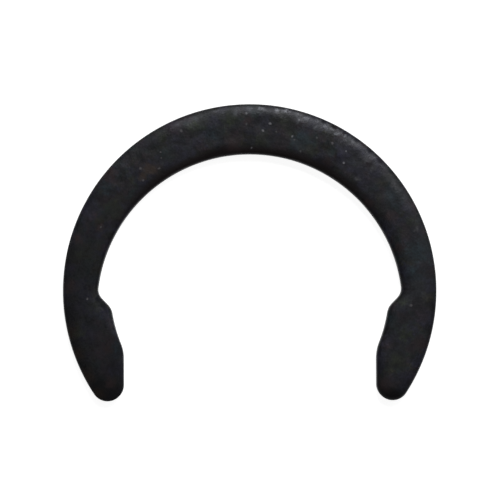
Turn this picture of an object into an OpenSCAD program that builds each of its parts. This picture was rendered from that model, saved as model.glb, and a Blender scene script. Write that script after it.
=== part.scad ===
// Retaining ring for a shaft groove, of the open crescent kind that is pushed on from the side.
// Stamped from flat spring steel in one piece. It lies on its burr side, with the rolled side up.
// Origin: on the shaft axis, at the underside. +Z runs along the shaft, and the mouth faces -Y.

/* [Ring] */
// Outer diameter
outer_d = 32; // [31.4:0.1:33]
// Sheet thickness
thickness = 1.5; // [1.2:0.1:2]
// Diameter of the circle that both lug pads lie on, about the shaft axis
pad_d = 23.9; // [23.7:0.1:24.1]
// Width of the mouth between the two lugs
mouth_w = 21.66; // [21.4:0.02:21.9]

/* [Bow] */
// Radius of the relieved inner edge of the bow
relief_r = 13.1; // [13:0.05:13.2]
// How far the centre of that edge lies below the shaft axis
relief_drop = 1.4; // [1.3:0.05:1.45]

/* [Lugs] */
// Angle below the horizontal at which a pad would meet its shoulder at a sharp corner
pad_start = 7.1; // [6.5:0.1:8.5]
// Slope of the shoulder between the pad and the bow
shoulder_slope = 46; // [42:1:50]
// Radius of the hollow between the shoulder and the bow
hollow_r = 1.1; // [0.9:0.05:1.5]
// Radius of the rounding between the shoulder and the pad
shoulder_r = 1.5; // [1.35:0.05:1.8]
// Radius of the rounding between the pad and the mouth
heel_r = 3.5; // [2.5:0.1:6.5]
// Radius of the lug's tip
tip_r = 1.38; // [1.3:0.01:1.5]

/* [Edges] */
// Width of the rolled edge that the punch leaves on the upper face
roll_w = 1.1; // [0.8:0.05:1.2]
// Depth of the rolled edge
roll_d = 0.32; // [0.15:0.01:0.4]
// Radius that tumbling leaves on the lower edge
break_r = 0.12; // [0.06:0.02:0.2]

/* [Hidden] */
$fn = 96;
outer_r = outer_d / 2;
pad_r = pad_d / 2;
mouth_x = mouth_w / 2;
roll_steps = 6;
break_steps = 3;
// How far a rounding stands off the line or arc that it blends with, so that the two faces cross
// at a small angle where they would otherwise only touch.
stand_off = 0.01;
// How far a cut runs past what it cuts
over = 1;
// How far a rounding's cut reaches out from its own radius
reach = 4;
// How far the cut along a shoulder reaches into the open middle
middle = 5;

function unit(a) = [cos(a), sin(a)];
function heading(v) = atan2(v[1], v[0]);

// The point on the line from p along direction d at distance r from the centre c
function on_line(p, d, c, r) =
    let (b = (p - c) * d, k = (p - c) * (p - c) - r * r) p + d * (sqrt(b * b - k) - b);

// Centre, at distance far from the shaft axis, of a disc of radius r that touches the mouth's side
function beside_mouth(r, far) =
    let (x = mouth_x + r) [x, -sqrt(far * far - x * x)];

// The pad's sharp corner with its shoulder, and the directions along and away from the shoulder
corner = pad_r * unit(-pad_start);
along = unit(shoulder_slope);
normal = unit(shoulder_slope + 90);
// Centres of the arcs that make up the outline
relief_c = [0, -relief_drop];
hollow_c = on_line(corner + normal * hollow_r, along, relief_c, relief_r - hollow_r);
shoulder_c = on_line(corner - normal * shoulder_r, along, [0, 0], pad_r + shoulder_r);
heel_c = beside_mouth(heel_r, pad_r + heel_r);
tip_c = beside_mouth(tip_r, outer_r - tip_r);

// The edge in section, from the underside up: [how far it falls back from the outline, height]
edge = concat(
    [[break_r, -over]],
    [for (i = [0:break_steps]) let (a = 90 * i / break_steps)
        [break_r * (1 - sin(a)), break_r * (1 - cos(a))]],
    [for (i = [0:roll_steps]) let (a = 90 * i / roll_steps)
        [roll_w * (1 - cos(a)), thickness - roll_d * (1 - sin(a))]],
    [[roll_w, thickness + over]]
);

// Everything outside a disc of radius r, over a sector that is turn wide
module outside(c, r, start, turn) {
    translate(c)
        rotate_extrude(angle = turn, start = start)
            polygon(concat(
                [for (p = edge) [r + stand_off - p[0], p[1]]],
                [[r + reach, thickness + over], [r + reach, -over]]
            ));
}

// Everything inside a circle of radius r, over a sector that is turn wide
module inside(c, r, start, turn) {
    translate(c)
        rotate_extrude(angle = turn, start = start)
            polygon(concat(
                [for (p = edge) [r + p[0], p[1]]],
                [[0, thickness + over], [0, -over]]
            ));
}

// Everything within width to the left of a straight line that leaves start at the heading given
module beside(start, direction, length, width) {
    translate(start)
        rotate([90, 0, direction - 90])
            mirror([0, 0, 1])
                linear_extrude(height = length)
                    polygon(concat(edge, [[-width, thickness + over], [-width, -over]]));
}

// The round blank with its rolled upper edge
module blank() {
    rotate_extrude()
        polygon(concat(
            [[0, 0]],
            [for (p = edge) if (p[1] >= 0 && p[1] <= thickness) [outer_r - p[0], p[1]]],
            [[0, thickness]]
        ));
}

// The cuts that shape the right-hand lug
module lug_cuts() {
    // The hollow, then the shoulder that runs down from it
    inside(hollow_c, hollow_r + stand_off, 0, 360);
    beside(hollow_c - normal * hollow_r - along * middle, shoulder_slope, middle, middle);
    // The roundings on either side of the pad
    outside(shoulder_c, shoulder_r, shoulder_slope + 90,
        heading(-shoulder_c) - shoulder_slope - 90);
    outside(heel_c, heel_r, heading(-heel_c), 180 - heading(-heel_c));
    // The mouth's side, which runs on past the heel's rounding, then the tip
    beside([mouth_x, -outer_r - over], 90, outer_r + heel_c[1] + 2 * over, mouth_x + over);
    outside(tip_c, tip_r, 180, 180 + heading(tip_c));
}

module ring() {
    color("#24262a")
        difference() {
            blank();
            // The bow's relieved inner edge
            inside(relief_c, relief_r, heading(hollow_c - relief_c),
                180 - 2 * heading(hollow_c - relief_c));
            // The pads
            inside([0, 0], pad_r, 180, 180);
            lug_cuts();
            mirror([1, 0, 0]) lug_cuts();
        }
}

ring();
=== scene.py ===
"""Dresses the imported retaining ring: an open crescent stamped from flat spring steel.

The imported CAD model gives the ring's place and size. This file builds the ring that is seen, with
its rolled upper edge, its sheared and torn wall and its tumbled surface, gives it a black phosphate
finish, and sets it in a plain studio. Sizes are in millimetres unless a name says otherwise, and the
finished meshes are in metres.
"""
import logging
import math
from collections.abc import Callable
from dataclasses import dataclass
from enum import Enum
from functools import partial
from itertools import pairwise

import bmesh
import bpy
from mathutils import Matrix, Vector


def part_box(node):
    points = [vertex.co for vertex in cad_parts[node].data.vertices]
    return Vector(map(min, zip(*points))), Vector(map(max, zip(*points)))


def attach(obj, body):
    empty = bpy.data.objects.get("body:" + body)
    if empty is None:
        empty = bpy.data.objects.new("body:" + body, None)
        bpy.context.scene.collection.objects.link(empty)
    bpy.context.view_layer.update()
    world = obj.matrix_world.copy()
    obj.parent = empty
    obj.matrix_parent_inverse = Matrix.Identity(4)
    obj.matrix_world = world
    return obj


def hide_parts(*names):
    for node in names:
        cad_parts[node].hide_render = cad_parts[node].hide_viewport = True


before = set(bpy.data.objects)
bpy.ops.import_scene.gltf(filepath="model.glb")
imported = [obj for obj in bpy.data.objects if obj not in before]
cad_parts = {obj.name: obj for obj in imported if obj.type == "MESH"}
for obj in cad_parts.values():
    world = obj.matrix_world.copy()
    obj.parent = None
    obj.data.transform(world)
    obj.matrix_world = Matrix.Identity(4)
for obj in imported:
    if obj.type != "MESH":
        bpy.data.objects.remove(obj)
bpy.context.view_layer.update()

LOG = logging.getLogger("retaining_ring")
# One millimetre, in metres
MM = 0.001
# Points closer than this, in millimetres, are one point.
SAME = 0.0001
# Heights closer than this, in millimetres, are level.
LEVEL = 0.001
# The mesh attribute that says where the wall is torn
TORN = "torn"
# The middle of a noise's range, in each of its three channels
NOISE_MIDDLE = (0.5, 0.5, 0.5)

# What gives a value to a material: a node, which stands for its first output in use, or one output
Value = bpy.types.Node | bpy.types.NodeSocket
# Adds a node to one material or world, as add_node does
Adder = Callable[..., bpy.types.Node]


def hex_to_linear(colour: str) -> tuple[float, float, float, float]:
    """Turns an sRGB hex colour into Blender's linear colour.

    Args:
        colour: The colour as "#rrggbb".

    Returns:
        Red, green, blue and an alpha of 1, in linear light.
    """
    parts = [int(colour[start:start + 2], 16) / 255 for start in (1, 3, 5)]
    linear = [part / 12.92 if part <= 0.04045 else ((part + 0.055) / 1.055) ** 2.4 for part in parts]
    return (*linear, 1.0)


def add_node(tree: bpy.types.NodeTree, kind: str, inputs: dict[str | int, object] | None = None,
             **settings: object) -> bpy.types.Node:
    """Adds one node with its settings and links.

    Args:
        tree: The node tree that the node goes into.
        kind: The node's type, such as "ShaderNodeMath".
        inputs: For each input's name or number, a constant value, the output that it is linked from, or
            a node, which stands for its first output in use.
        **settings: The node's own properties, such as operation="ADD".

    Returns:
        The new node.
    """
    node = tree.nodes.new(kind)
    for name, value in settings.items():
        setattr(node, name, value)
    for name, value in (inputs or {}).items():
        if isinstance(name, str):
            socket = next(socket for socket in node.inputs if socket.enabled and socket.name == name)
        else:
            socket = node.inputs[name]
        if isinstance(value, bpy.types.Node):
            value = next(output for output in value.outputs if output.enabled)
        if isinstance(value, bpy.types.NodeSocket):
            tree.links.new(value, socket)
        else:
            socket.default_value = value
    return node


def per_metre(size: float) -> float:
    """Gives the scale of a pattern, on coordinates in metres, whose features are size millimetres wide."""
    return 1 / (size * MM)


def unit(angle: float) -> Vector:
    """Gives the unit vector at an angle in degrees, anticlockwise from +X."""
    return Vector((math.cos(math.radians(angle)), math.sin(math.radians(angle)), 0))


def heading(vector: Vector) -> float:
    """Gives a vector's angle in degrees, anticlockwise from +X."""
    return math.degrees(math.atan2(vector.y, vector.x))


def select_edges(rule: Callable[[bmesh.types.BMEdge], bool]) -> None:
    """Selects the edges of the mesh in edit mode that a rule picks, and nothing else.

    Args:
        rule: Says of an edge whether it is wanted.
    """
    bpy.ops.mesh.select_mode(type="EDGE")
    bpy.ops.mesh.select_all(action="DESELECT")
    mesh = bpy.context.edit_object.data
    body = bmesh.from_edit_mesh(mesh)
    for edge in body.edges:
        if rule(edge):
            edge.select_set(True)
    bmesh.update_edit_mesh(mesh)


@dataclass(frozen=True)
class Arc:
    """A stretch of the outline along a circle, which turns by an angle in degrees."""

    centre: Vector
    turn: float
    radius: float

    def end(self, start: Vector) -> Vector:
        """Gives the point where the stretch ends when it begins at start."""
        return self.centre + unit(heading(start - self.centre) + self.turn) * self.radius


@dataclass(frozen=True)
class Line:
    """A straight stretch of the outline."""

    path: Vector

    def end(self, start: Vector) -> Vector:
        """Gives the point where the stretch ends when it begins at start."""
        return start + self.path


@dataclass(frozen=True)
class Pen:
    """Draws a chain of edges by sweeping one vertex of the mesh in edit mode.

    An edge is about as long as the spacing, and turns by no more than the widest turn, in degrees.
    """

    spacing: float
    widest_turn: float = 6

    def start(self, place: Vector) -> None:
        """Puts the pen down as a single vertex, made by closing up a small plane.

        Args:
            place: Where the pen starts.
        """
        bpy.ops.mesh.primitive_plane_add(size=1)
        bpy.context.object.name = "ring_steel"
        bpy.ops.object.mode_set(mode="EDIT")
        bpy.ops.mesh.merge(type="CENTER")
        bpy.ops.transform.translate(value=place)

    def draw(self, stretch: Arc | Line, steps: int | None = None) -> int:
        """Draws one stretch from where the pen stands.

        Args:
            stretch: The arc or line to follow.
            steps: How many edges it gets, or None to follow the pen's spacing.

        Returns:
            How many edges were drawn.
        """
        if isinstance(stretch, Line):
            steps = steps or max(1, round(stretch.path.length / self.spacing))
            for _ in range(steps):
                bpy.ops.mesh.extrude_region_move(TRANSFORM_OT_translate={"value": stretch.path / steps})
            return steps
        length = abs(math.radians(stretch.turn)) * stretch.radius
        steps = steps or max(round(length / self.spacing), math.ceil(abs(stretch.turn) / self.widest_turn))
        # Spin counts a positive angle as clockwise about +Z.
        bpy.ops.mesh.spin(
            steps=steps, angle=-math.radians(stretch.turn), center=stretch.centre, axis=(0, 0, 1))
        return steps


@dataclass(frozen=True)
class Crescent:
    """The ring's outline in plan, about the shaft's axis, with its mouth towards -Y.

    Each lug has a pad that grips the shaft's groove, a sloped shoulder and a hollow between the pad and
    the bow, and a heel between the pad and the mouth. Angles are in degrees.
    """

    outer_r: float
    pad_r: float = 11.95
    mouth_x: float = 10.83
    relief_r: float = 13.1
    relief_drop: float = 1.4
    pad_start: float = 7.1
    shoulder_slope: float = 46
    hollow_r: float = 1.1
    shoulder_r: float = 1.5
    heel_r: float = 3.5
    tip_r: float = 1.38

    def beside_mouth(self, radius: float, far: float) -> Vector:
        """Gives the centre, at distance far from the axis, of a circle that touches the mouth's side."""
        x = self.mouth_x + radius
        return Vector((x, -math.sqrt(far * far - x * x), 0))

    @property
    def corner(self) -> Vector:
        """The sharp corner that the pad and its shoulder would make."""
        return unit(-self.pad_start) * self.pad_r

    @property
    def away(self) -> Vector:
        """The direction away from the shoulder, into the open middle."""
        return unit(self.shoulder_slope + 90)

    def along_shoulder(self, offset: float, centre: Vector, radius: float) -> Vector:
        """Finds where a line beside the shoulder meets a circle.

        Args:
            offset: How far the line lies from the shoulder, towards the open middle.
            centre: The circle's centre.
            radius: The circle's radius.

        Returns:
            The meeting point on the bow's side.
        """
        start = self.corner + self.away * offset - centre
        along = unit(self.shoulder_slope)
        middle = start.dot(along)
        reach = math.sqrt(middle * middle - start.dot(start) + radius * radius)
        return centre + start + along * (reach - middle)

    @property
    def relief_c(self) -> Vector:
        """The centre of the bow's relieved inner edge."""
        return Vector((0, -self.relief_drop, 0))

    @property
    def hollow_c(self) -> Vector:
        """The centre of the hollow between the bow and the shoulder."""
        return self.along_shoulder(self.hollow_r, self.relief_c, self.relief_r - self.hollow_r)

    @property
    def shoulder_c(self) -> Vector:
        """The centre of the rounding between the shoulder and the pad."""
        return self.along_shoulder(-self.shoulder_r, Vector((0, 0, 0)), self.pad_r + self.shoulder_r)

    @property
    def heel_c(self) -> Vector:
        """The centre of the rounding between the pad and the mouth."""
        return self.beside_mouth(self.heel_r, self.pad_r + self.heel_r)

    @property
    def tip_c(self) -> Vector:
        """The centre of the lug's tip."""
        return self.beside_mouth(self.tip_r, self.outer_r - self.tip_r)

    def start(self) -> Vector:
        """Gives the middle of the bow's inner edge, where the outline begins."""
        return Vector((0, self.relief_r - self.relief_drop, 0))

    def inner_stretches(self) -> list[Arc | Line]:
        """Gives the right half's inner edge.

        Returns:
            Its stretches, from the middle of the bow to the tip.
        """
        hollow, shoulder, heel, tip = self.hollow_c, self.shoulder_c, self.heel_c, self.tip_c
        bow_end = heading(hollow - self.relief_c)
        shoulder_start = hollow - self.away * self.hollow_r
        shoulder_end = shoulder + self.away * self.shoulder_r
        return [
            Arc(self.relief_c, bow_end - 90, self.relief_r),
            Arc(hollow, self.shoulder_slope - 90 - bow_end, self.hollow_r),
            Line(shoulder_end - shoulder_start),
            Arc(shoulder, heading(-shoulder) - self.shoulder_slope - 90, self.shoulder_r),
            Arc(Vector((0, 0, 0)), heading(heel) - heading(shoulder), self.pad_r),
            Arc(heel, 180 - heading(-heel), self.heel_r),
            Line(Vector((0, tip.y - heel.y, 0))),
        ]

    def tip(self) -> Arc:
        """Gives the round end of the right lug."""
        return Arc(self.tip_c, 180 + heading(self.tip_c), self.tip_r)

    def outer_stretches(self) -> list[Arc]:
        """Gives the right half's outer edge.

        Returns:
            One arc to each inner stretch, from the tip to the middle of the bow. Each ends where its
            inner stretch does, as seen from the axis.
        """
        place = self.start()
        seams = [heading(place)]
        for stretch in self.inner_stretches()[:-1]:
            place = stretch.end(place)
            seams.insert(0, heading(place))
        seams.insert(0, heading(self.tip_c))
        return [Arc(Vector((0, 0, 0)), high - low, self.outer_r) for low, high in pairwise(seams)]

    def is_on_tip(self, place: Vector) -> bool:
        """Says whether a point lies in the half of a lug's round end that faces out."""
        spoke = Vector((abs(place.x), place.y, 0)) - self.tip_c
        return spoke.length < self.tip_r and 180 < heading(spoke) % 360 < 360 + heading(self.tip_c)


class Side(Enum):
    """The ring's two flat faces, each with the way that it looks along Z."""

    ROLLED = 1
    BURR = -1


@dataclass(frozen=True)
class Dents:
    """An uneven surface, pressed inwards only, so that the ring keeps its outer size."""

    name: str
    width: float
    depth: float
    detail: int = 2

    def press(self, piece: bpy.types.Object, group: str = "") -> None:
        """Presses the dents into a piece whose mesh is in millimetres.

        Args:
            piece: The piece, which is the active object, in object mode.
            group: The vertex group that limits them, or "" for the whole piece.
        """
        texture = bpy.data.textures.new(self.name, "CLOUDS")
        texture.noise_scale = self.width
        texture.noise_depth = self.detail
        dents = piece.modifiers.new(self.name, "DISPLACE")
        dents.texture = texture
        dents.texture_coords = "LOCAL"
        dents.mid_level = 0
        dents.strength = -self.depth
        dents.vertex_group = group
        bpy.ops.object.modifier_apply(modifier=dents.name)


@dataclass(frozen=True)
class Ring:
    """The ring: one piece of spring steel, rolled over along its upper edge by the punch."""

    plan: Crescent
    thickness: float
    # The rolled upper edge
    roll_w: float = 1.2
    roll_d: float = 0.4
    roll_steps: int = 12
    # The tumbled lower edge
    break_r: float = 0.12
    break_steps: int = 4
    # The narrow border that keeps each face flat up to its rounding
    hold: float = 0.06
    # The length of the edges along the outline
    spacing: float = 0.15
    # How far down the wall the punch shears cleanly, before the steel tears
    sheared: float = 0.36
    shear_rows: int = 4
    torn_rows: int = 7
    torn_depth: float = 0.035
    # How far the tear's upper limit wanders with each of its waves, which are given by how many go
    # round the ring and by where they start
    torn_wander: float = 0.06
    torn_waves: tuple[tuple[int, int], ...] = ((9, 0), (23, 1), (51, 2))
    tumbling: Dents = Dents("tumbling_dents", width=2.6, depth=0.014)
    tearing: Dents = Dents("torn_steel", width=0.3, depth=0.03)

    @property
    def wall_top(self) -> float:
        """The height at which the straight wall begins, below the rolled edge."""
        return self.thickness - self.roll_d

    def build(self) -> bpy.types.Object:
        """Builds the ring's mesh.

        Returns:
            The ring, in metres, in place.
        """
        bpy.ops.object.select_all(action="DESELECT")
        self.draw_outline()
        self.round_over(Side.ROLLED, self.roll_w, self.roll_d, self.roll_steps)
        self.close_face(self.thickness)
        self.draw_wall()
        self.round_over(Side.BURR, self.break_r, self.break_r, self.break_steps)
        self.close_face(0)
        return self.finish()

    def draw_outline(self) -> None:
        """Draws the outline at the top of the wall, as one closed loop with as many points inside as
        outside.
        """
        pen = Pen(self.spacing)
        pen.start(self.plan.start() + Vector((0, 0, self.wall_top)))
        steps = [pen.draw(stretch) for stretch in self.plan.inner_stretches()]
        pen.draw(self.plan.tip())
        for stretch in self.plan.outer_stretches():
            pen.draw(stretch, steps.pop())
        bpy.ops.mesh.select_all(action="SELECT")
        bpy.ops.mesh.duplicate()
        bpy.ops.transform.resize(value=(-1, 1, 1), center_override=(0, 0, 0))
        bpy.ops.mesh.select_all(action="SELECT")
        bpy.ops.mesh.remove_doubles(threshold=SAME)

    def round_over(self, side: Side, width: float, depth: float, steps: int) -> None:
        """Closes the selected loop and rounds it over into a flat face by a row of insets.

        Args:
            side: The face that the loop belongs to.
            width: How far the rounding reaches in from the outline.
            depth: How far it rises.
            steps: How many insets make it.
        """
        bpy.ops.mesh.edge_face_add()
        body = bmesh.from_edit_mesh(bpy.context.edit_object.data)
        face = next(face for face in body.faces if face.select)
        if face.normal.z * side.value < 0:
            bpy.ops.mesh.flip_normals()
        quarter = math.pi / 2
        for step in range(steps):
            low, high = quarter * step / steps, quarter * (step + 1) / steps
            bpy.ops.mesh.inset(
                thickness=width * (math.cos(low) - math.cos(high)),
                depth=depth * (math.sin(high) - math.sin(low)))
        bpy.ops.mesh.inset(thickness=self.hold, depth=0)
        bpy.ops.mesh.delete(type="ONLY_FACE")

    def close_face(self, height: float) -> None:
        """Fills the open loop at a height with a grid that runs from one lug's tip to the other's.

        Args:
            height: The height of the face.
        """
        def is_tip(edge: bmesh.types.BMEdge) -> bool:
            """Says whether an edge of the open loop lies on a lug's tip."""
            middle = (edge.verts[0].co + edge.verts[1].co) / 2
            is_open = len(edge.link_faces) == 1 and abs(middle.z - height) < LEVEL
            return is_open and self.plan.is_on_tip(middle)

        select_edges(is_tip)
        bpy.ops.mesh.fill_grid()

    def draw_wall(self) -> None:
        """Draws the wall down from the rolled edge: first the sheared band, then the torn one."""
        select_edges(lambda edge: len(edge.link_faces) == 1)
        torn = self.wall_top - self.sheared - self.break_r
        for height, rows in ((self.sheared, self.shear_rows), (torn, self.torn_rows)):
            for _ in range(rows):
                bpy.ops.mesh.extrude_region_move(
                    TRANSFORM_OT_translate={"value": (0, 0, -height / rows)})

    def is_torn(self, place: Vector) -> bool:
        """Says whether a point lies in the torn band, whose upper limit wanders.

        Args:
            place: A point of the ring.

        Returns:
            True in the torn band.
        """
        angle = math.atan2(place.y, place.x)
        wander = sum(math.sin(count * angle + start) for count, start in self.torn_waves)
        limit = self.wall_top - self.sheared + self.torn_wander * wander
        return self.break_r + SAME < place.z < limit

    def finish(self) -> bpy.types.Object:
        """Tears the wall, dents the surface and brings the mesh to metres.

        Returns:
            The finished ring.
        """
        bpy.ops.mesh.select_all(action="SELECT")
        bpy.ops.mesh.remove_doubles(threshold=SAME)
        bpy.ops.mesh.normals_make_consistent(inside=False)
        bpy.ops.object.mode_set(mode="OBJECT")
        piece = bpy.context.object
        self.tear(piece)
        self.tumbling.press(piece)
        bpy.ops.object.mode_set(mode="EDIT")
        bpy.ops.mesh.select_all(action="SELECT")
        bpy.ops.transform.resize(value=(MM, MM, MM), center_override=(0, 0, 0))
        bpy.ops.object.mode_set(mode="OBJECT")
        bpy.ops.object.shade_smooth()
        return piece

    def tear(self, piece: bpy.types.Object) -> None:
        """Sets the torn band back from the sheared one, roughens it and marks it for the finish.

        Args:
            piece: The ring, which is the active object, in object mode.
        """
        torn = [self.is_torn(point.co) for point in piece.data.vertices]
        shown = piece.data.attributes.new(name=TORN, type="FLOAT", domain="POINT")
        shown.data.foreach_set("value", [float(is_torn) for is_torn in torn])
        band = piece.vertex_groups.new(name="torn_wall")
        band.add([index for index, is_torn in enumerate(torn) if is_torn], 1, "REPLACE")
        step_in = piece.modifiers.new("torn_step", "DISPLACE")
        step_in.mid_level = 0
        step_in.strength = -self.torn_depth
        step_in.vertex_group = band.name
        bpy.ops.object.modifier_apply(modifier=step_in.name)
        self.tearing.press(piece, band.name)
        piece.vertex_groups.clear()


@dataclass(frozen=True)
class Spot:
    """A round place on the ring's face: its centre, in millimetres from the shaft's axis, and its radius."""

    x: float
    y: float
    radius: float


class Mark(Enum):
    """The kinds of mark: how each blends with the skin, how ragged its rim is and how firm its middle."""

    # Painted shade, multiplied into the skin's colour
    SHADE = ("MULTIPLY", 1.5, 0.0)
    CLOUD = ("MIX", 1.5, 0.0)
    RUST = ("MIX", 1.0, 0.0)
    # Scuffs of steel, lightened into painted glints in the lit rubbed band
    SCUFF = ("MIX", 0.9, 0.0)
    DUST = ("MIX", 0.2, 0.3)

    def __init__(self, blend: str, ragged: float, firm: float) -> None:
        """Names the parts of a kind's value.

        Args:
            blend: How the tint blends with the skin.
            ragged: How far the rim wanders, in millimetres.
            firm: The share of a spot's radius within which the tint is whole.
        """
        self.blend = blend
        self.ragged = ragged
        self.firm = firm


class Tint(Enum):
    """The colours of the marks. A painted shade multiplies the skin's colour, and the rest replace it."""

    # Painted shade, thin and deep
    THIN_SHADE = "#bdbabd"
    DEEP_SHADE = "#5d5959"
    TEAL = "#0d161a"
    PALE_TEAL = "#131d20"
    VIOLET = "#13121b"
    PALE_VIOLET = "#17161e"
    PLUM = "#181218"
    OLIVE = "#12150d"
    PALE_OLIVE = "#151a0e"
    GREY = "#17181b"
    RUST = "#28201a"
    FAINT_RUST = "#1e1515"
    DARK_RUST = "#181010"
    BROWN = "#130b04"
    # Scuffed steel, lightened as painted glints where the lamps catch the rubbed band
    BRIGHT_STEEL = "#5a5c61"
    DULL_STEEL = "#343639"
    DARK_STEEL = "#2b2b2d"
    PALE_DUST = "#565659"
    GREY_DUST = "#3e3c3e"
    DARK_DUST = "#343435"


MARKS: dict[Mark, dict[Tint, tuple[Spot, ...]]] = {
    # Painted shade, which darkens the left limb, its outer edge and the lugs' tips, on the side away from
    # the lamps.
    Mark.SHADE: {
        Tint.THIN_SHADE: (Spot(-15.0, 2.0, 7.0), Spot(-12.5, -6.5, 5.0)),
        Tint.DEEP_SHADE: (
            Spot(-12.1, -9.1, 2.7), Spot(12.3, -9.2, 2.6), Spot(-15.6, -2.0, 2.6), Spot(-15.0, -5.0, 2.6),
            Spot(-13.9, -7.6, 2.4),
        ),
    },
    # Clouds of faint colour, where the skin is thicker or thinner than elsewhere
    Mark.CLOUD: {
        Tint.TEAL: (
            Spot(-3.0, 13.3, 1.2), Spot(12.4, 7.9, 1.5), Spot(14.4, 3.4, 1.9), Spot(14.2, 1.4, 1.2),
            Spot(12.1, -2.4, 1.1), Spot(-12.4, 8.8, 1.0), Spot(-13.4, 1.0, 0.9), Spot(-11.5, -5.0, 1.0),
            Spot(-12.7, -2.4, 0.7),
        ),
        Tint.PALE_TEAL: (Spot(4.4, 13.0, 1.3),),
        Tint.VIOLET: (
            Spot(-6.0, 12.5, 1.2), Spot(8.5, 11.5, 1.4), Spot(9.9, 9.2, 1.3), Spot(-13.8, 6.9, 1.2),
            Spot(-15.3, 2.0, 0.9), Spot(-4.6, 12.9, 0.9), Spot(-13.9, -3.4, 1.3), Spot(-12.3, -2.2, 0.9),
            Spot(-11.8, -6.7, 1.1), Spot(-14.6, -1.4, 1.1), Spot(11.9, -4.1, 1.0), Spot(13.6, -7.3, 1.0),
        ),
        Tint.PALE_VIOLET: (Spot(11.3, 10.8, 1.1), Spot(13.4, 7.0, 0.8)),
        Tint.PLUM: (
            Spot(14.8, -2.2, 1.0), Spot(-6.6, 14.0, 1.3), Spot(-9.2, 12.7, 0.9), Spot(-13.2, -5.1, 0.9),
        ),
        Tint.OLIVE: (
            Spot(-7.4, 13.1, 1.0), Spot(3.0, 14.6, 1.1), Spot(5.3, 11.9, 0.9), Spot(12.6, -5.9, 1.6),
            Spot(-14.3, 3.4, 1.5), Spot(-11.5, 6.9, 1.3), Spot(-13.2, -1.2, 0.9), Spot(0.9, 12.8, 1.1),
            Spot(-12.9, 2.6, 0.9),
        ),
        Tint.PALE_OLIVE: (
            Spot(-4.6, 14.0, 1.1), Spot(-1.6, 14.7, 1.3), Spot(3.6, 13.6, 0.8), Spot(13.9, 5.9, 0.8),
            Spot(13.3, -3.8, 1.0), Spot(13.1, -0.9, 0.9), Spot(-14.7, -3.5, 0.9),
        ),
        Tint.GREY: (Spot(14.0, -0.2, 1.8),),
    },
    # Faint brown stains, where the skin has let a little rust through
    Mark.RUST: {
        Tint.RUST: (Spot(-8.8, 10.5, 0.75), Spot(-8.2, 10.4, 0.7), Spot(-9.1, 9.8, 0.5)),
        Tint.FAINT_RUST: (
            Spot(-14.7, 4.5, 0.7), Spot(-12.8, 5.5, 0.6), Spot(-11.8, 10.1, 0.8), Spot(-1.4, 12.6, 1.1),
            Spot(-0.2, 14.6, 0.5), Spot(12.0, 6.4, 0.6),
        ),
        Tint.DARK_RUST: (
            Spot(6.8, 11.2, 0.8), Spot(-15.3, 0.5, 0.8), Spot(-12.0, -7.8, 0.7), Spot(-12.2, -4.9, 0.8),
            Spot(11.6, -8.0, 1.0), Spot(14.6, -4.6, 0.9), Spot(12.8, 3.7, 0.6), Spot(10.2, 7.4, 0.7),
        ),
        Tint.BROWN: (
            Spot(-15.4, -3.4, 1.1), Spot(-14.9, -5.4, 1.1), Spot(-14.0, -7.3, 1.1), Spot(-13.0, -8.9, 1.0),
        ),
    },
    # Scuffs, where the skin is rubbed through to greyer steel, lightened as painted glints where the lamps'
    # highlight falls on the rubbed band
    Mark.SCUFF: {
        Tint.BRIGHT_STEEL: (
            Spot(1.0, 15.6, 0.35), Spot(2.3, 15.6, 0.3), Spot(3.2, 15.4, 0.35), Spot(7.5, 13.4, 0.3),
            Spot(8.3, 13.25, 0.35),
        ),
        Tint.DULL_STEEL: (
            Spot(4.2, 14.6, 0.4), Spot(5.6, 14.0, 0.4), Spot(6.7, 13.7, 0.35), Spot(-1.2, 15.2, 0.5),
        ),
        Tint.DARK_STEEL: (
            Spot(9.1, 12.6, 0.5), Spot(10.0, 11.2, 0.6), Spot(10.6, 10.5, 0.5), Spot(12.3, 9.0, 0.5),
            Spot(9.3, 9.6, 0.35), Spot(14.3, 5.2, 0.35),
        ),
    },
    # Grains of pale dust
    Mark.DUST: {
        Tint.PALE_DUST: (
            Spot(-0.2, 15.2, 0.15), Spot(1.8, 14.3, 0.15), Spot(1.2, 13.7, 0.16), Spot(3.7, 13.2, 0.14),
            Spot(0.2, 12.2, 0.16), Spot(8.3, 11.9, 0.1), Spot(8.1, 10.9, 0.15), Spot(4.3, 14.6, 0.16),
        ),
        Tint.GREY_DUST: (
            Spot(-5.8, 13.7, 0.15), Spot(-7.6, 11.9, 0.12), Spot(-7.7, 10.5, 0.14),
            Spot(-9.3, 10.5, 0.15), Spot(-9.1, 9.5, 0.14), Spot(7.1, 12.6, 0.15), Spot(-13.9, -0.6, 0.15),
            Spot(13.8, -1.3, 0.17),
        ),
        Tint.DARK_DUST: (
            Spot(-0.2, 14.3, 0.12), Spot(3.9, 12.9, 0.11), Spot(4.4, 11.9, 0.12), Spot(2.3, 13.6, 0.12),
            Spot(-7.5, 11.4, 0.11), Spot(9.2, 9.5, 0.14), Spot(5.8, 13.1, 0.14), Spot(-12.7, 5.5, 0.11),
        ),
    },
}


@dataclass(frozen=True)
class Patch(Spot):
    """A spot whose skin is smoother or coarser than elsewhere."""

    roughness: float


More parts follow.
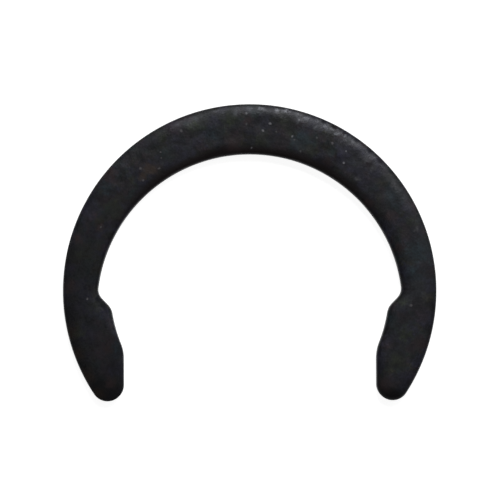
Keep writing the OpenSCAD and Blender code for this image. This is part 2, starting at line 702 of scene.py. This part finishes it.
PATCHES: tuple[Patch, ...] = (
    # The bow's outer rim on the right and the tip of the left lug came out of the bath dull.
    Patch(5.6, 15.0, 0.4, 0.8), Patch(6.5, 14.65, 0.48, 0.9), Patch(7.4, 14.2, 0.52, 0.9),
    Patch(8.4, 13.6, 0.52, 0.9), Patch(9.4, 13.0, 0.55, 0.9), Patch(10.4, 12.2, 0.6, 0.9),
    Patch(11.4, 11.3, 0.6, 0.9), Patch(12.25, 10.35, 0.6, 0.85), Patch(13.2, 9.1, 0.5, 0.8),
    Patch(-12.3, -8.9, 2.4, 0.92),
    # So did the face of the left lug along its pad.
    Patch(-11.5, -4.7, 1.5, 0.82), Patch(-11.5, -6.9, 1.3, 0.84),
    # The tip of the right lug is a little smoother.
    Patch(11.8, -9.2, 1.5, 0.46),
    # These parts of the bow's face came out a little smoother.
    Patch(-3.0, 13.3, 2.6, 0.46), Patch(6.9, 11.8, 2.0, 0.46), Patch(-9.8, 10.0, 2.0, 0.48),
    Patch(0.3, 13.6, 1.6, 0.48), Patch(11.4, 9.5, 1.2, 0.52), Patch(9.5, 12.0, 0.9, 0.43),
    # The left end of the rubbed band and the left limb's outer edge are hardly worn.
    Patch(-8.7, 12.6, 1.4, 0.5), Patch(-10.9, 10.9, 1.4, 0.52), Patch(-12.7, 9.0, 1.4, 0.54),
    Patch(-15.2, 4.0, 1.5, 0.7),
    # The left lug's shoulder is dull, so it doesn't catch the light.
    Patch(-12.85, -0.6, 0.5, 0.9), Patch(-12.45, -1.05, 0.5, 0.9), Patch(-12.1, -1.5, 0.5, 0.9),
    # The very rim at the middle of the bow is worn a little less than the band inside it.
    Patch(-1.6, 15.85, 0.6, 0.5), Patch(-0.5, 15.9, 0.6, 0.5), Patch(0.6, 15.9, 0.6, 0.5),
    Patch(1.7, 15.85, 0.6, 0.5),
)


@dataclass(frozen=True)
class Zones:
    """Where a point of the ring lies. From bow on, each value is 1 inside its zone and 0 outside it."""

    place: Value
    height: Value
    # How far the point lies from the middle of the rubbed band
    reach: Value
    # The pattern that makes the limits of bands and marks ragged
    uneven: bpy.types.Node
    bow: Value
    coarse: Value
    rubbed: Value
    sheared: Value
    torn: Value


@dataclass(frozen=True)
class BlackPhosphate:
    """Black phosphate on stamped spring steel, oiled and tumbled.

    The bath leaves a skin of fine crystals, dull black with a faint play of violet, green and blue. Its
    gloss is weak and broad, so it looks greyer where it faces a lamp and blacker where the steel is
    rolled away from one. Along the outer edge tumbling has rubbed it smooth in patches, which glint. The
    sheared band of the wall is smooth and lined downwards, and the torn band is rough and browner.
    Painted shade darkens the bow's rolled inner edge, the left limb and the lugs' tips, and painted glints
    lighten the scuffs in the rubbed band.
    """

    wall_top: float
    thickness: float
    break_r: float
    skin: str = "#0f110f"
    olive: str = "#14130b"
    teal: str = "#0b1313"
    plum: str = "#150f12"
    violet: str = "#111119"
    # The painted shade along the bow's inner edge, where it is rolled away from the lamps, in a faint brown
    rolled: str = "#0d0807"
    torn: str = "#15110f"
    # Widths of the clouds in the skin's colour, of its lighter and darker places, of the face's low
    # swells, of worn places in the rubbed band, and of what makes limits ragged
    cloud: float = 1.3
    mottle: float = 0.9
    blotch: float = 3.2
    worn: float = 0.45
    uneven: float = 0.4
    # Which stretch of each noise is used
    cloud_seed: int = 90
    mottle_seed: int = 57
    blotch_seed: int = 10
    # The crystals are about 0.01 mm, too fine to show, so they are drawn as coarse as they need to be.
    crystal: float = 0.2
    # Spacing of the lines that the punch draws down the sheared band, how far their pattern is drawn
    # out along Z, and the size of the torn grit
    line: float = 0.08
    line_flow: float = 0.03
    grit: float = 0.14
    # A noise's values at which a cloud starts and is whole, the same for a worn place, and the low and
    # high ends of a pattern that swings the colour or the roughness
    cloud_limits: tuple[float, float] = (0.46, 0.6)
    worn_limits: tuple[float, float] = (0.45, 0.6)
    swing_limits: tuple[float, float] = (0.3, 0.7)
    # By what share the mottling and the crystals lighten and darken the skin
    mottle_swing: float = 0.9
    crystal_swing: float = 0.4
    # The rubbed band lies between two circles that aren't quite centred on the shaft. It fades in from
    # the first distance to the second, and out from the third to the fourth.
    rubbed_centre: tuple[float, float, float] = (-0.15, 0.4, 0)
    rubbed_start: float = 13.9
    rubbed_full: float = 14.7
    rubbed_fade: float = 15.46
    rubbed_end: float = 15.6
    rubbed_ragged: float = 0.5
    # Between these two places along Y the bow becomes as worn and mottled as it is at its middle.
    bow_start: float = 4
    bow_full: float = 10
    # The left limb took a coarser, duller skin, from the first of these places along X to the second.
    coarse_start: float = -8
    coarse_full: float = -14
    # Depths below the face at which the rim's polish and the rolled edge's painted shade start and are
    # whole, and the distances, measured as for the rubbed band, between which that painted shade ends
    rim_start: float = 0.1
    rim_full: float = 0.2
    edge_shade_start: float = 0.004
    edge_shade_full: float = 0.09
    edge_shade_fade: float = 13.5
    edge_shade_end: float = 14
    # How far above the wall its bands fade out
    wall_fade: float = 0.05
    # The share of a patch's radius within which its roughness is whole
    patch_firm: float = 0.5
    # How rough each part is. The crystals swing the coarse skin's roughness up and down.
    skin_roughness: float = 0.56
    coarse_roughness: float = 0.7
    coarse_swing: float = 0.2
    rim_roughness: float = 0.42
    rubbed_roughness: float = 0.47
    worn_roughness: float = 0.35
    sheared_roughness: float = 0.45
    torn_roughness: float = 0.8
    # The open crystals swallow most of the shine, and what they give back is a little blue.
    shine: float = 0.24
    shine_tint: str = "#f3f5ff"
    # How deep the relief of each pattern is
    mottle_depth: float = 0.036
    blotch_depth: float = 0.23
    worn_depth: float = 0.013
    crystal_depth: float = 0.006
    line_depth: float = 0.003
    grit_depth: float = 0.02

    def material(self) -> bpy.types.Material:
        """Makes the finish.

        Returns:
            The finish as a material.
        """
        finish = bpy.data.materials.new("black_phosphate_on_spring_steel")
        finish.use_nodes = True
        finish.node_tree.nodes.clear()
        add = partial(add_node, finish.node_tree)
        zones = self.zones(add)
        place = zones.place
        mottle = add("ShaderNodeTexNoise", {
            "Vector": place, "W": self.mottle_seed, "Scale": per_metre(self.mottle), "Detail": 3,
            "Roughness": 0.6}, noise_dimensions="4D")
        blotches = add("ShaderNodeTexNoise", {
            "Vector": place, "W": self.blotch_seed, "Scale": per_metre(self.blotch), "Detail": 2},
            noise_dimensions="4D")
        worn = add("ShaderNodeTexNoise", {"Vector": place, "Scale": per_metre(self.worn), "Detail": 2})
        crystals = add("ShaderNodeTexNoise", {
            "Vector": place, "Scale": per_metre(self.crystal), "Detail": 1})
        layers = (
            (mottle, None, self.mottle_depth),
            (blotches, zones.bow, self.blotch_depth),
            (worn, zones.bow, self.worn_depth),
            (crystals, None, self.crystal_depth),
        )
        shader = add("ShaderNodeBsdfPrincipled", {
            "Base Color": self.colour(add, zones, mottle, crystals),
            "Roughness": self.roughness(add, zones, worn, crystals),
            "Specular IOR Level": self.shine, "Specular Tint": hex_to_linear(self.shine_tint),
            "Normal": self.relief(add, zones, layers)})
        add("ShaderNodeOutputMaterial", {"Surface": shader})
        return finish

    def zones(self, add: Adder) -> Zones:
        """Finds which parts of the ring a point belongs to.

        Args:
            add: Adds a node to the material.

        Returns:
            The zones.
        """
        place = add("ShaderNodeTexCoord").outputs["Object"]
        sides = add("ShaderNodeSeparateXYZ", {"Vector": place})
        uneven = add("ShaderNodeTexNoise", {
            "Vector": place, "Scale": per_metre(self.uneven), "Detail": 3})
        bow = add("ShaderNodeMapRange", {
            "Value": sides.outputs["Y"], "From Min": self.bow_start * MM,
            "From Max": self.bow_full * MM}, interpolation_type="SMOOTHSTEP")
        coarse = add("ShaderNodeMapRange", {
            "Value": sides.outputs["X"], "From Min": self.coarse_start * MM,
            "From Max": self.coarse_full * MM}, interpolation_type="SMOOTHSTEP")
        spoke = add("ShaderNodeVectorMath", {
            0: place, 1: Vector(self.rubbed_centre) * MM}, operation="SUBTRACT")
        spoke = add("ShaderNodeVectorMath", {0: spoke, 1: (1, 1, 0)}, operation="MULTIPLY")
        reach = add("ShaderNodeVectorMath", {0: spoke}, operation="LENGTH").outputs["Value"]
        sheared, torn = self.wall_bands(add, sides.outputs["Z"])
        return Zones(
            place=place, height=sides.outputs["Z"], reach=reach, uneven=uneven, bow=bow, coarse=coarse,
            rubbed=self.rubbed(add, reach, bow, uneven), sheared=sheared, torn=torn)

    def rubbed(self, add: Adder, reach: Value, bow: Value, uneven: Value) -> Value:
        """Finds where tumbling rubs the ring: along the bow's outer edge, but not at the steep rim.

        Args:
            add: Adds a node to the material.
            reach: The point's distance from the middle of the rubbed band.
            bow: How far the point lies in the bow.
            uneven: The pattern that makes the band's limits ragged.

        Returns:
            The rubbing, from 0 to 1.
        """
        ragged = self.rubbed_ragged * MM
        shift = add("ShaderNodeMapRange", {"Value": uneven, "To Min": -ragged, "To Max": ragged})
        shifted = add("ShaderNodeMath", {0: reach, 1: shift}, operation="ADD")
        inner = add("ShaderNodeMapRange", {
            "Value": shifted, "From Min": self.rubbed_start * MM,
            "From Max": self.rubbed_full * MM}, interpolation_type="SMOOTHSTEP")
        outer = add("ShaderNodeMapRange", {
            "Value": reach, "From Min": self.rubbed_fade * MM, "From Max": self.rubbed_end * MM,
            "To Min": 1, "To Max": 0}, interpolation_type="SMOOTHSTEP")
        band = add("ShaderNodeMath", {0: inner, 1: outer}, operation="MULTIPLY")
        return add("ShaderNodeMath", {0: band, 1: bow}, operation="MULTIPLY")

    def wall_bands(self, add: Adder, height: Value) -> tuple[Value, Value]:
        """Finds the two bands of the wall: the sheared one and the torn one below it.

        Args:
            add: Adds a node to the material.
            height: The point's height.

        Returns:
            The share of each band, from 0 to 1.
        """
        wall = add("ShaderNodeMapRange", {
            "Value": height, "From Min": self.wall_top * MM,
            "From Max": (self.wall_top + self.wall_fade) * MM, "To Min": 1, "To Max": 0})
        above = add("ShaderNodeMapRange", {
            "Value": height, "From Min": self.break_r / 2 * MM, "From Max": self.break_r * MM})
        wall = add("ShaderNodeMath", {0: wall, 1: above}, operation="MULTIPLY")
        torn = add("ShaderNodeAttribute", attribute_name=TORN).outputs["Fac"]
        sheared = add("ShaderNodeMath", {0: wall, 1: torn}, operation="SUBTRACT", use_clamp=True)
        return sheared, torn

    def colour(self, add: Adder, zones: Zones, mottle: Value, crystals: Value) -> Value:
        """Colours the ring: its clouds, its lighter and darker places, the painted shade at its inner edge,
        its marks with their painted shade and painted glints, and its torn wall.

        Args:
            add: Adds a node to the material.
            zones: Where the point lies.
            mottle: The pattern of lighter and darker places.
            crystals: The pattern of the crystals.

        Returns:
            The colour.
        """
        colour = self.marked(add, zones, self.clouded(add, zones.place), (Mark.CLOUD,))
        low, high = self.swing_limits
        for pattern, swing in ((mottle, self.mottle_swing), (crystals, self.crystal_swing)):
            shade = add("ShaderNodeMapRange", {
                "Value": pattern, "From Min": low, "From Max": high,
                "To Min": 1 - swing, "To Max": 1 + swing})
            colour = add("ShaderNodeMix", {"Factor": 1, "A": colour, "B": shade},
                         data_type="RGBA", blend_type="MULTIPLY")
        # Painted shade along the bow's inner edge
        colour = self.painted_edge_shade(add, zones, colour)
        colour = self.marked(add, zones, colour, (Mark.SHADE, Mark.RUST, Mark.SCUFF, Mark.DUST))
        return add("ShaderNodeMix", {"Factor": zones.torn, "A": colour, "B": hex_to_linear(self.torn)},
                   data_type="RGBA")

    def clouded(self, add: Adder, place: Value) -> Value:
        """Colours the skin in clouds of green, plum and blue.

        Args:
            add: Adds a node to the material.
            place: The point's place on the ring.

        Returns:
            The colour.
        """
        low, high = self.cloud_limits
        colour = hex_to_linear(self.skin)
        for seed, tint in enumerate((self.olive, self.teal, self.plum, self.violet), self.cloud_seed):
            cloud = add("ShaderNodeTexNoise", {
                "Vector": place, "W": seed, "Scale": per_metre(self.cloud), "Detail": 4,
                "Roughness": 0.6}, noise_dimensions="4D")
            share = add("ShaderNodeMapRange", {"Value": cloud, "From Min": low, "From Max": high},
                        interpolation_type="SMOOTHSTEP")
            colour = add("ShaderNodeMix", {"Factor": share, "A": colour, "B": hex_to_linear(tint)},
                         data_type="RGBA")
        return colour

    def painted_edge_shade(self, add: Adder, zones: Zones, colour: Value) -> Value:
        """Paints shade into the skin along the bow's inner edge, where the steel is rolled over, away from
        the lamps.

        Args:
            add: Adds a node to the material.
            zones: Where the point lies.
            colour: The skin's colour elsewhere.

        Returns:
            The new colour.
        """
        rolled = add("ShaderNodeMapRange", {
            "Value": zones.height, "From Min": (self.thickness - self.edge_shade_full) * MM,
            "From Max": (self.thickness - self.edge_shade_start) * MM, "To Min": 1, "To Max": 0},
            interpolation_type="SMOOTHSTEP")
        inside = add("ShaderNodeMapRange", {
            "Value": zones.reach, "From Min": self.edge_shade_fade * MM,
            "From Max": self.edge_shade_end * MM, "To Min": 1, "To Max": 0})
        share = add("ShaderNodeMath", {0: rolled, 1: inside}, operation="MULTIPLY")
        share = add("ShaderNodeMath", {0: share, 1: zones.bow}, operation="MULTIPLY")
        return add("ShaderNodeMix", {"Factor": share, "A": colour, "B": hex_to_linear(self.rolled)},
                   data_type="RGBA")

    def marked(self, add: Adder, zones: Zones, colour: Value, kinds: tuple[Mark, ...]) -> Value:
        """Lays marks over the skin, each a blot with a ragged rim.

        Args:
            add: Adds a node to the material.
            zones: Where the point lies.
            colour: The skin's colour elsewhere.
            kinds: The kinds of mark to lay, in order.

        Returns:
            The new colour.
        """
        uneven = add("ShaderNodeVectorMath", {0: zones.uneven.outputs["Color"], 1: NOISE_MIDDLE},
                     operation="SUBTRACT")
        for kind in kinds:
            shift = add("ShaderNodeVectorMath", {0: uneven, "Scale": kind.ragged * MM}, operation="SCALE")
            near = add("ShaderNodeVectorMath", {0: zones.place, 1: shift}, operation="ADD")
            for tint, spots in MARKS[kind].items():
                for spot in spots:
                    colour = add("ShaderNodeMix", {
                        "Factor": self.blot(add, near, spot, kind.firm), "A": colour,
                        "B": hex_to_linear(tint.value)}, data_type="RGBA", blend_type=kind.blend)
        return colour

    def blot(self, add: Adder, place: Value, spot: Spot, firm: float) -> Value:
        """Finds how far a point lies inside a spot.

        Args:
            add: Adds a node to the material.
            place: The point's place, shifted where the spot's rim is ragged.
            spot: The spot.
            firm: The share of the spot's radius within which the answer is 1.

        Returns:
            A share that falls from 1 at the spot's middle to 0 at its rim.
        """
        centre = Vector((spot.x, spot.y, self.thickness)) * MM
        distance = add("ShaderNodeVectorMath", {0: place, 1: centre}, operation="DISTANCE")
        return add("ShaderNodeMapRange", {
            "Value": distance.outputs["Value"], "From Min": firm * spot.radius * MM,
            "From Max": spot.radius * MM, "To Min": 1, "To Max": 0},
            interpolation_type="SMOOTHSTEP")

    def roughness(self, add: Adder, zones: Zones, worn: Value, crystals: Value) -> Value:
        """Roughens the ring: its skin, rim and rubbed band, its patches, and the bands of its wall.

        Args:
            add: Adds a node to the material.
            zones: Where the point lies.
            worn: The pattern of worn places in the rubbed band.
            crystals: The pattern of the crystals.

        Returns:
            The roughness.
        """
        low, high = self.worn_limits
        polish = add("ShaderNodeMapRange", {
            "Value": worn, "From Min": low, "From Max": high, "To Min": self.rubbed_roughness,
            "To Max": self.worn_roughness}, interpolation_type="SMOOTHSTEP")
        low, high = self.swing_limits
        dull = add("ShaderNodeMapRange", {
            "Value": crystals, "From Min": low, "From Max": high,
            "To Min": self.coarse_roughness - self.coarse_swing,
            "To Max": self.coarse_roughness + self.coarse_swing})
        rim = add("ShaderNodeMapRange", {
            "Value": zones.height, "From Min": (self.thickness - self.rim_full) * MM,
            "From Max": (self.thickness - self.rim_start) * MM, "To Min": 1, "To Max": 0},
            interpolation_type="SMOOTHSTEP")
        roughness = self.skin_roughness
        for share, value in ((zones.coarse, dull), (rim, self.rim_roughness), (zones.rubbed, polish)):
            roughness = add("ShaderNodeMix", {"Factor": share, "A": roughness, "B": value})
        for patch in PATCHES:
            share = self.blot(add, zones.place, patch, self.patch_firm)
            roughness = add("ShaderNodeMix", {"Factor": share, "A": roughness, "B": patch.roughness})
        for share, value in ((zones.sheared, self.sheared_roughness), (zones.torn, self.torn_roughness)):
            roughness = add("ShaderNodeMix", {"Factor": share, "A": roughness, "B": value})
        return roughness

    def relief(self, add: Adder, zones: Zones,
               layers: tuple[tuple[Value, Value | None, float], ...]) -> Value:
        """Gives the surface its fine relief.

        Args:
            add: Adds a node to the material.
            zones: Where the point lies.
            layers: For each layer of the skin, its pattern, where it shows or None, and its depth.

        Returns:
            The normal.
        """
        down = add("ShaderNodeVectorMath", {0: zones.place, 1: (1, 1, self.line_flow)},
                   operation="MULTIPLY")
        lines = add("ShaderNodeTexNoise", {"Vector": down, "Scale": per_metre(self.line), "Detail": 1})
        grit = add("ShaderNodeTexNoise", {
            "Vector": zones.place, "Scale": per_metre(self.grit), "Detail": 3})
        walls = ((lines, zones.sheared, self.line_depth), (grit, zones.torn, self.grit_depth))
        bump = None
        for pattern, share, depth in layers + walls:
            strength = {"Strength": share} if share else {}
            below = {"Normal": bump} if bump else {}
            bump = add("ShaderNodeBump", {
                "Height": pattern, "Distance": depth * MM, **strength, **below})
        return bump


@dataclass(frozen=True)
class Floor:
    """A plain pale floor of matt board, which shows white behind the ring and keeps its shadow."""

    width: float = 1000
    board: str = "#c8c8c8"
    shown_strength: float = 0.92
    shown_board: str = "#9a9a9a"

    def build(self, height: float) -> bpy.types.Object:
        """Builds the floor.

        Args:
            height: Where it lies, in metres.

        Returns:
            The floor, which is no part of the ring.
        """
        bpy.ops.object.select_all(action="DESELECT")
        bpy.ops.mesh.primitive_plane_add(size=self.width * MM, location=(0, 0, height))
        bpy.ops.object.transform_apply(location=True)
        floor = bpy.context.object
        floor.name = "floor"
        floor.data.materials.append(self.material())
        return floor

    def material(self) -> bpy.types.Material:
        """Makes the board's finish, whose glow is only for the camera, reflections and transmission.

        Returns:
            The finish as a material.
        """
        finish = bpy.data.materials.new("matt_white_board")
        finish.use_nodes = True
        finish.node_tree.nodes.clear()
        add = partial(add_node, finish.node_tree)
        ray = add("ShaderNodeLightPath")
        seen = add("ShaderNodeMath", {0: ray.outputs["Is Camera Ray"], 1: ray.outputs["Is Glossy Ray"]},
                   operation="MAXIMUM")
        seen = add("ShaderNodeMath", {0: seen, 1: ray.outputs["Is Transmission Ray"]}, operation="MAXIMUM")
        plain = add("ShaderNodeBsdfDiffuse", {"Color": hex_to_linear(self.board)})
        glow = add("ShaderNodeEmission", {"Strength": self.shown_strength})
        shaded = add("ShaderNodeBsdfDiffuse", {"Color": hex_to_linear(self.shown_board)})
        shown = add("ShaderNodeAddShader", {0: glow, 1: shaded})
        both = add("ShaderNodeMixShader", {0: seen, 1: plain, 2: shown})
        add("ShaderNodeOutputMaterial", {"Surface": both})
        return finish


@dataclass(frozen=True)
class Lamp:
    """A soft lamp that hangs above and beyond the bow and looks at the ring.

    Its azimuth is in degrees anticlockwise from +X, and its tilt in degrees from straight above.
    """

    name: str
    azimuth: float
    tilt: float
    distance: float
    width: float
    height: float
    watts: float

    def build(self) -> bpy.types.Object:
        """Hangs the lamp, turned to the ring.

        Returns:
            The lamp.
        """
        lamp = bpy.data.lights.new(self.name, "AREA")
        lamp.shape = "ELLIPSE"
        lamp.size = self.width * MM
        lamp.size_y = self.height * MM
        lamp.energy = self.watts
        holder = bpy.data.objects.new(self.name, lamp)
        bpy.context.scene.collection.objects.link(holder)
        tilt = math.radians(self.tilt)
        away = unit(self.azimuth) * math.sin(tilt) + Vector((0, 0, math.cos(tilt)))
        holder.location = away * self.distance * MM
        holder.rotation_euler = away.to_track_quat("Z", "Y").to_euler()
        return holder


LAMPS: tuple[Lamp, ...] = (
    Lamp("key_lamp", azimuth=76, tilt=38, distance=350, width=150, height=150, watts=0.87),
    Lamp("strip_lamp", azimuth=68, tilt=37, distance=450, width=900, height=150, watts=0.92),
)


@dataclass(frozen=True)
class Room:
    """The light of the room: low white walls all round, under a dark ceiling.

    The camera sees white wherever it looks past the floor. The walls and the ceiling are given by their
    strengths, and by how high they reach and start: 0 is level with the ring and 1 straight above it.
    """

    walls: float = 0.8
    ceiling: float = 0.05
    walls_end: float = 0.1
    ceiling_start: float = 0.45

    def build(self) -> None:
        """Gives the scene its world."""
        world = bpy.data.worlds.new("room")
        bpy.context.scene.world = world
        world.use_nodes = True
        world.node_tree.nodes.clear()
        add = partial(add_node, world.node_tree)
        direction = add("ShaderNodeTexCoord").outputs["Generated"]
        rise = add("ShaderNodeSeparateXYZ", {"Vector": direction}).outputs["Z"]
        strength = add("ShaderNodeMapRange", {
            "Value": rise, "From Min": self.walls_end, "From Max": self.ceiling_start,
            "To Min": self.walls, "To Max": self.ceiling}, interpolation_type="SMOOTHSTEP")
        seen = add("ShaderNodeLightPath").outputs["Is Camera Ray"]
        strength = add("ShaderNodeMath", {0: strength, 1: seen}, operation="MAXIMUM")
        light = add("ShaderNodeBackground", {"Color": (1, 1, 1, 1), "Strength": strength})
        add("ShaderNodeOutputWorld", {"Surface": light})


@dataclass(frozen=True)
class Camera:
    """A camera straight above the ring, with a long lens, turned by a fraction of a degree."""

    frame_width: float = 42.74
    x: float = 0.04
    y: float = 3.5
    lens: float = 200
    film: float = 36
    turn: float = -0.23
    nearest: float = 10
    farthest: float = 10000

    def build(self, height: float) -> bpy.types.Object:
        """Sets the camera up.

        Args:
            height: The height of the ring's upper face, in metres, at which the frame's width holds.

        Returns:
            The camera, which is the scene's own.
        """
        lens = bpy.data.cameras.new("camera")
        lens.lens = self.lens
        lens.sensor_width = self.film
        lens.clip_start = self.nearest * MM
        lens.clip_end = self.farthest * MM
        camera = bpy.data.objects.new("camera", lens)
        bpy.context.scene.collection.objects.link(camera)
        above = self.frame_width * self.lens / self.film
        camera.location = Vector((self.x, self.y, above)) * MM + Vector((0, 0, height))
        camera.rotation_euler = (0, 0, math.radians(self.turn))
        bpy.context.scene.camera = camera
        return camera


def main() -> None:
    """Builds the ring, the studio round it and the camera."""
    logging.basicConfig(level=logging.INFO, format="%(message)s")
    bpy.context.scene.view_settings.view_transform = "Standard"
    low, high = (Vector(corner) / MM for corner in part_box("ring"))
    ring = Ring(plan=Crescent(outer_r=round(high.x, 3)), thickness=round(high.z - low.z, 3))
    steel = ring.build()
    finish = BlackPhosphate(wall_top=ring.wall_top, thickness=ring.thickness, break_r=ring.break_r)
    steel.data.materials.append(finish.material())
    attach(steel, "root")
    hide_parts("ring")
    LOG.info("%s: %d faces", steel.name, len(steel.data.polygons))
    floor = Floor().build(low.z * MM)
    for lamp in LAMPS:
        lamp.build()
    Room().build()
    Camera().build(high.z * MM)
    LOG.info("%s, lamps, room and camera are in place", floor.name)


if __name__ == "__main__":
    main()
